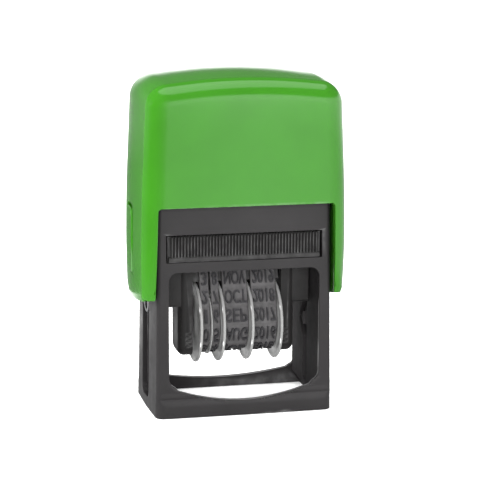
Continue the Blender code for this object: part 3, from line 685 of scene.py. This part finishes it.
def make_spring():
    """Open coil with one close turn at each end."""
    low, high = SPRING_LOW.z, SPRING_HIGH.z
    wire, turns, around, steps = 0.45, 8.0, 12, 40
    coil = (SPRING_HIGH.x - SPRING_LOW.x) / 2 - wire
    end, rings = 2.1 * wire, []
    bottom, top = low + wire, high - wire
    for i in range(int(turns * steps) + 1):
        t = i / steps
        if t < 1:
            z = bottom + end * t
        elif t > turns - 1:
            z = top - end * (turns - t)
        else:
            z = bottom + end + (top - bottom - 2 * end) * (t - 1) / (turns - 2)
        a = 2 * math.pi * t
        rings.append([((coil + wire * math.cos(b)) * math.cos(a), (coil + wire * math.cos(b)) * math.sin(a),
                       z + wire * math.sin(b)) for b in (2 * math.pi * k / around for k in range(around))])
    spring = loft("coil_spring", rings)
    spring.data.shade_smooth()
    spring.data.set_sharp_from_angle(angle=math.radians(60))
    finish_piece(spring, WIRE, "steel", "base", "return_spring")
    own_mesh(spring)


# --- date unit ------------------------------------------------------------------------
ROWS, PITCH = 14, 4.5
BAND_R, BAND_T, TYPE_H = 7.0, 0.8, 0.6
MONTHS = ("JAN", "FEB", "MAR", "APR", "MAY", "JUN", "JUL", "AUG", "SEP", "OCT", "NOV", "DEC")


def band_loop():
    """Half depth of the type face, loop length, straight run and lean of the band's path."""
    top = BAND_HIGH.z - TYPE_H - WHEEL_Z

    def measured(half):
        reach = math.hypot(half, top)
        straight = math.sqrt(reach ** 2 - BAND_R ** 2)
        lean = math.atan2(half, top) + math.acos(BAND_R / reach)
        return half, 2 * (half + straight + BAND_R * (math.pi - lean)), straight, lean

    low, high = 1.0, 5.0
    for _ in range(50):
        half = (low + high) / 2
        if measured(half)[1] < PITCH * ROWS:
            low = half
        else:
            high = half
    return measured(half)


LOOP = band_loop()


def band_point(s, height):
    """(y, z) at distance s along the band from the middle of the type face, frontwards."""
    half, total, straight, lean = LOOP
    s %= total
    mirror = s > total / 2
    if mirror:
        s = total - s
    top = BAND_HIGH.z - TYPE_H
    tangent = (-math.sin(lean) * BAND_R, WHEEL_Z + math.cos(lean) * BAND_R)
    way = ((tangent[0] + half) / straight, (tangent[1] - top) / straight)
    if s <= half:
        y, z, ny, nz = -s, top, 0.0, 1.0
    elif s <= half + straight:
        y, z = -half + way[0] * (s - half), top + way[1] * (s - half)
        ny, nz = way[1], -way[0]
    else:
        a = lean + (s - half - straight) / BAND_R
        ny, nz = -math.sin(a), math.cos(a)
        y, z = ny * BAND_R, WHEEL_Z + nz * BAND_R
    if abs(s - half) < 0.35:                       # eased bend at the edge of the platen
        t = (s - half + 0.35) / 0.7
        ny, nz = way[1] * t, (1 - t) - way[0] * t
        size = math.hypot(ny, nz)
        ny, nz = ny / size, nz / size
    y, z = y + ny * height, z + nz * height
    return (-y if mirror else y), z


def type_rows(kind):
    """Characters of each row, from the type face frontwards and round; blanks are empty."""
    rows = [""] * ROWS
    for row in range(ROWS):
        if kind == "year" and row < 12:
            rows[row] = str(2021 - row)
        elif kind == "month" and 2 <= row <= 12:
            rows[row] = MONTHS[12 - row]
        elif kind == "day_units" and 1 <= row <= 10:
            rows[row] = str(10 - row)
        elif kind == "day_tens" and 1 <= row <= 12:
            rows[row] = str((1 - row) % 4)
    if kind == "month":
        rows[0] = MONTHS[11]
    return rows


def raised_type(text, width, height):
    """Flat letters cut into narrow strips, then thickened: a mesh in (u, v, 0 to 1)."""
    curve = bpy.data.curves.new("type", "FONT")
    curve.body = text
    curve.resolution_u = 4
    curve.offset = 0.012
    holder = bpy.data.objects.new("type", curve)
    bpy.context.scene.collection.objects.link(holder)
    graph = bpy.context.evaluated_depsgraph_get()
    mesh = bpy.data.meshes.new_from_object(holder.evaluated_get(graph))
    bpy.data.objects.remove(holder)
    bm = bmesh.new()
    bm.from_mesh(mesh)
    bpy.data.meshes.remove(mesh)
    bmesh.ops.remove_doubles(bm, verts=bm.verts, dist=0.0005)
    us, vs = [v.co.x for v in bm.verts], [v.co.y for v in bm.verts]
    for v in bm.verts:
        v.co.x = ((v.co.x - min(us)) / (max(us) - min(us)) - 0.5) * width
        v.co.y = ((v.co.y - min(vs)) / (max(vs) - min(vs)) - 0.5) * height
        v.co.z = 0.0
    strips = 7
    for k in range(1, strips):
        geometry = bm.verts[:] + bm.edges[:] + bm.faces[:]
        bmesh.ops.bisect_plane(bm, geom=geometry, dist=1e-5, plane_no=(0, 1, 0),
                               plane_co=(0, height * (k / strips - 0.5), 0))
    raised = bmesh.ops.extrude_face_region(bm, geom=bm.faces[:])["geom"]
    for item in raised:
        if isinstance(item, bmesh.types.BMVert):
            item.co.z = 1.0
    bmesh.ops.recalc_face_normals(bm, faces=bm.faces)
    bm.verts.index_update()
    verts = [tuple(v.co) for v in bm.verts]
    faces = [tuple(v.index for v in f.verts) for f in bm.faces]
    bm.free()
    return verts, faces


def make_band(kind):
    low, high = span("band_" + kind)
    x0, x1 = low.x, high.x
    per_row, edge = 12, 0.12
    verts, faces, outer = [], [], []
    for i in range(ROWS * per_row):
        where = i % per_row / per_row              # 0 at the middle of a row
        rise = 0.1 if min(where, 1 - where) < 0.42 else 0.0
        outer.append((i / per_row * PITCH, rise))
    section = ((x0, 0.0, -BAND_T), (x0, 1.0, -edge), (x0 + edge, 1.0, 0.0), (x1 - edge, 1.0, 0.0),
               (x1, 1.0, -edge), (x1, 0.0, -BAND_T))
    n = len(section)
    for s, rise in outer:
        for x, lifted, height in section:
            y, z = band_point(s, height + rise * lifted)
            verts.append((x, y, z))
    count = len(outer)
    for i in range(count):
        for k in range(n):
            a, b = i * n + k, i * n + (k + 1) % n
            c, d = (i + 1) % count * n + (k + 1) % n, (i + 1) % count * n + k
            faces.append((a, b, c, d))
    band = mesh_object("type_band_" + kind, verts, faces)
    band.data.shade_smooth()
    band.data.set_sharp_from_angle(angle=math.radians(35))
    finish_piece(band, RUBBER, "band_rubber", "date_unit", "band_" + kind)


def make_type(kind):
    """Raised letters of a band, inked darker than the rubber they stand on."""
    low, high = span("band_" + kind)
    x0, x1 = low.x, high.x
    verts, faces = [], []
    for row, text in enumerate(type_rows(kind)):
        if not text:
            continue
        width = (x1 - x0) * (0.88 if len(text) > 1 else 0.3 if text == "1" else 0.66)
        flat, shapes = raised_type(text, width, 3.2)
        start = len(verts)
        for u, v, up in flat:
            y, z = band_point(row * PITCH + v, TYPE_H if up > 0.5 else -0.05)
            verts.append(((x0 + x1) / 2 + u, y, z))
        faces += [tuple(start + i for i in shape) for shape in shapes]
    letters = mesh_object("date_type_" + kind, verts, faces)
    letters.data.shade_smooth()
    letters.data.set_sharp_from_angle(angle=math.radians(35))
    finish_piece(letters, INKED, "band_rubber", "date_unit")


def make_wheel(kind):
    """Drum with a larger finger disc at one end, its rim rounded and its face dished."""
    low, high = span("wheel_" + kind)
    disc_on_left = kind == "day_tens"
    disc, far = (low.x, high.x) if disc_on_left else (high.x, low.x)
    inward = 1 if disc_on_left else -1
    thick, rim, drum, bore, dish = 0.7, (high.z - low.z) / 2, 5.85, 1.45, 0.12
    near = disc + inward * thick
    middle = disc + inward * thick / 2
    profile = [(far, bore), (far, drum - 0.2), (far - inward * 0.2, drum), (near, drum), (near, 7.2),
               (near - inward * dish, 7.4), (near - inward * dish, 8.8), (near, 9.0)]
    profile += [(middle + inward * thick / 2 * math.cos(math.radians(a)),
                 rim - 0.35 + 0.35 * math.sin(math.radians(a))) for a in range(0, 181, 15)]
    profile += [(disc, 9.0), (disc + inward * dish, 8.8), (disc + inward * dish, 4.2), (disc, 4.0),
                (disc, bore + 0.1), (disc + inward * 0.1, bore)]
    wheel = turned("thumbwheel_" + kind, profile, "x", (0.0, WHEEL_Z), 128, closed=True)
    wheel.data.shade_smooth()
    wheel.data.set_sharp_from_angle(angle=math.radians(35))
    finish_piece(wheel, GREY, "wheel_plastic", "thumbwheel_" + kind, "wheel_" + kind)


def make_separator():
    low, high = span("separator_disc")
    rim, half, middle = (high.z - low.z) / 2, (high.x - low.x) / 2, (low.x + high.x) / 2
    profile = [(low.x, 1.5), (high.x, 1.5)]
    profile += [(middle + half * math.cos(math.radians(a)), rim - half + half * math.sin(math.radians(a)))
                for a in range(0, 181, 20)]
    disc = turned("thin_separator", profile, "x", (0.0, WHEEL_Z), 128, closed=True)
    disc.data.shade_smooth()
    disc.data.set_sharp_from_angle(angle=math.radians(35))
    finish_piece(disc, GREY, "wheel_plastic", "date_unit", "separator_disc")


def make_cheek(side, name):
    """Side plate of the unit with its block, pin, cam follower and finger ribs."""
    inner, outer, hub_out = 10.7, 14.1, 17.6
    half_y, low, top, radius, steps = 4.8, CHEEK_LOWEST.z, CHEEK_HIGHEST.z, 1.6, 10
    outline = rounded(-half_y, half_y, low, top, 2.6, 10)
    rings = [[(side * inner, y, z) for y, z in outline]]
    for k in range(steps + 1):
        turn = math.pi / 2 * k / steps
        ring = inset(outline, radius * (1 - math.cos(turn)))
        rings.append([(side * (outer - radius * (1 - math.sin(turn))), y, z) for y, z in ring])
    cheek = loft("unit_cheek_" + name, rings)
    block = rounded(-4.6, 4.6, 24.6, 36.6, 0.6, 6)
    hub = prism("hub", block, "x", side * (outer - 0.6), side * hub_out)
    pin = turned("pin", ((side * (hub_out - 0.5), 1.45), (side * 20.8, 1.45), (side * 21.0, 1.25)),
                 "x", (0.0, AXLE_Z), 40)
    follower = turned("follower", ((side * (outer - 0.8), 0.6), (side * 18.85, 0.6)),
                      "x", (0.0, AXLE_Z - CAM_R), 28)
    join(cheek, hub)
    join(cheek, pin, follower)
    for z in (14.6 + 1.15 * i for i in range(4)):      # low ribs for the fingers
        rib = rounded(inner + 0.5, outer - 1.7, z, z + 0.45, 0.15, 3)
        join(cheek, prism("rib", [(side * x, zz) for x, zz in rib], "y", -5.0, 5.0))
    soften(cheek, 0.1, angle=50)
    finish_piece(cheek, CARRIER, "carrier_plastic", "date_unit", "cheek_" + name)


def make_date_unit():
    """The unit's pieces; the hidden ones keep their CAD shape and get a better material."""
    for side, name in ((-1, "left"), (1, "right")):
        make_cheek(side, name)
    for kind in ("day_tens", "day_units", "month", "year"):
        make_band(kind)
        make_type(kind)
        make_wheel(kind)
    make_separator()
    for node, material in (("platen", CARRIER), ("wheel_axle", STEEL), ("washer_left", STEEL),
                           ("washer_right", STEEL)):
        obj = frame["nodes"][node]
        obj.data.materials.clear()
        obj.data.materials.append(material)


# --- stage ----------------------------------------------------------------------------
def plain_material(name, colour, rough):
    """Paper-like floor, lit a little from below so that it stays pale under the object."""
    paint = Paint(name, rough, specular=0.2)
    tone = paint.scaled(paint.noise(220.0, 2.0), 0.3, 0.7, 0.0, 1.0)
    paint.use("Base Color", paint.mixed(tone, shade(colour, 0.99), shade(colour, 1.0)))
    paint.shader.inputs["Emission Color"].default_value = (1, 1, 1, 1)
    paint.shader.inputs["Emission Strength"].default_value = 0.3
    return paint.material


def area_light(name, place, target, size, power):
    """Soft box that gloss does not see, so that only the tent shows in the reflections."""
    light = bpy.data.lights.new(name, "AREA")
    light.shape = "RECTANGLE"
    light.size, light.size_y = size
    light.energy = power
    obj = bpy.data.objects.new(name, light)
    bpy.context.scene.collection.objects.link(obj)
    back = Matrix.Translation(place).to_translation() - Matrix.Translation(target).to_translation()
    obj.rotation_euler = back.to_track_quat("Z", "Y").to_euler()
    obj.location = place
    obj.visible_glossy = False


# Tones round the tent and the carpet in it: (azimuth from the front towards the left, tone).
TENT_ROUND = ((-180, 1.0), (-150, 1.2), (-60, 1.1), (-20, 1.55), (-13, 1.65), (-5, 1.4), (5, 1.0), (16, 0.5),
              (30, 0.22), (50, 0.06), (75, 0.0), (84, 0.12), (95, 0.3), (140, 0.3), (153, 0.15),
              (164, 0.14), (170, 0.6), (176, 1.2), (180, 1.0))
CARPET_ROUND = ((-180, 1.9), (-150, 0.6), (-140, 0.44), (150, 0.46), (156, 0.8), (161, 1.9), (170, 1.9),
                (180, 1.9))
TENT_RADIUS, TENT_TOP = 120.0, 240.0


def gloss_only(obj):
    """A card that neither the camera nor the soft light sees."""
    obj.visible_camera = False
    obj.visible_diffuse = False
    obj.visible_shadow = False
    obj.visible_transmission = False
    return obj


def glowing(paint, tone):
    """Turns a paint into a plain light of that tone."""
    glow = paint.node("ShaderNodeEmission", [("Strength", tone)])
    output = next(n for n in paint.tree.nodes if n.type == "OUTPUT_MATERIAL")
    paint.tree.links.new(glow.outputs[0], output.inputs["Surface"])
    return paint.material


def light_tent():
    """Paper tent that only gloss sees; its tone runs round the object and dims above it."""
    sides = 96
    plan = [(-TENT_RADIUS * math.sin(a), -TENT_RADIUS * math.cos(a))
            for a in (2 * math.pi * i / sides for i in range(sides))]
    wall = [(x, y, z) for z in (0.0, TENT_TOP) for x, y in plan]
    tent = mesh_object("light_tent", wall, [(i, (i + 1) % sides, sides + (i + 1) % sides, sides + i)
                                            for i in range(sides)])
    paint = Paint("tent_paper", 1.0)
    maths, split = paint.maths, paint.split()
    around = round_object(paint, TENT_ROUND)
    height = maths("MULTIPLY_ADD", split[1], 0.071, split[2])     # tilted towards the front
    strip = paint.scaled(height, 0.050, 0.062, 1.0, 1.75)         # brighter above the first height
    above = paint.scaled(height, 0.0965, 0.1105, 0.0, 1.0)        # dim above the second
    low = maths("MULTIPLY", maths("MULTIPLY", around, strip), maths("SUBTRACT", 1.0, above))
    tone = maths("ADD", low, maths("MULTIPLY", above, 0.1))
    tent.data.materials.append(glowing(paint, maths("MULTIPLY", tone, 2.0)))

    roof = mesh_object("tent_roof", [(x, y, TENT_TOP) for x, y in plan], [tuple(range(sides))])
    paint = Paint("roof_paper", 1.0)
    roof.data.materials.append(glowing(paint, paint.scaled(paint.split()[1], 0.036, 0.044, 2.4, 0.13)))

    carpet = mesh_object("tent_carpet", [(x, y, -0.01) for x, y in plan], [tuple(range(sides))])
    paint = Paint("carpet_paper", 1.0)
    tone = paint.maths("MULTIPLY", round_object(paint, CARPET_ROUND), 2.0)
    carpet.data.materials.append(glowing(paint, tone))
    return gloss_only(tent), gloss_only(roof), gloss_only(carpet)


def round_object(paint, stops):
    """Tone that changes with the azimuth from the front towards the left."""
    split = paint.split()
    turn = paint.maths("ARCTAN2", paint.maths("MULTIPLY", split[0], -1.0),
                       paint.maths("MULTIPLY", split[1], -1.0))
    turn = paint.scaled(turn, -math.pi, math.pi, 0.0, 1.0)
    return ramp(paint, turn, [((azimuth + 180) / 360, tone) for azimuth, tone in stops])


def ramp(paint, factor, stops):
    """Grey ramp; tones are halved so that the brightest stays below one."""
    made = paint.node("ShaderNodeValToRGB", [("Fac", factor)])
    elements = made.color_ramp.elements
    while len(elements) < len(stops):
        elements.new(0.5)
    for element, (place, tone) in zip(elements, stops):
        element.position = place
        element.color = (tone / 2, tone / 2, tone / 2, 1.0)
    return made.outputs["Color"]


def make_stage():
    half = 6000.0
    floor = mesh_object("floor", [(x, y, -0.02) for x, y in upright(half, -half, half)], [(0, 1, 2, 3)])
    floor.data.materials.append(plain_material("floor_white", (0.93, 0.93, 0.93), 0.6))
    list(light_tent())

    world = bpy.data.worlds.new("studio")
    world.use_nodes = True
    world.node_tree.nodes["Background"].inputs["Color"].default_value = (1, 1, 1, 1)
    world.node_tree.nodes["Background"].inputs["Strength"].default_value = 1.1
    bpy.context.scene.world = world
    bpy.context.scene.view_settings.view_transform = "Standard"
    area_light("front_fill", (-0.25, -1.3, 0.40), (0, 0, 0.03), (0.9, 0.6), 24.0)
    area_light("left_fill", (-1.3, 0.25, 0.45), (0, 0, 0.04), (0.6, 0.6), 31.0)
    area_light("overhead_fill", (0.0, 0.0, 1.3), (0, 0, 0.04), (0.6, 0.6), 18.0)


def make_camera():
    """The photo's viewpoint: a long lens, a little to the left and above."""
    yaw, pitch, roll, distance = (math.radians(13.06), math.radians(11.0), math.radians(0.231), 0.4436)
    target = Matrix.Translation((0, -0.0009, 0.040))
    turn = (Matrix.Rotation(-yaw, 4, "Z") @ Matrix.Rotation(math.pi / 2 - pitch, 4, "X")
            @ Matrix.Rotation(roll, 4, "Z"))
    camera = bpy.data.cameras.new("camera")
    camera.sensor_width = 36.0
    camera.lens = 139.7
    camera.shift_x = 0.0132
    camera.shift_y = -0.0039
    camera.clip_start = 0.01
    obj = bpy.data.objects.new("camera", camera)
    bpy.context.scene.collection.objects.link(obj)
    obj.matrix_world = target @ turn @ Matrix.Translation((0, 0, distance))
    bpy.context.scene.camera = obj


make_cover()
make_base()
make_pad()
make_foam()
make_bail()
make_spring()
make_date_unit()
make_stage()
make_camera()
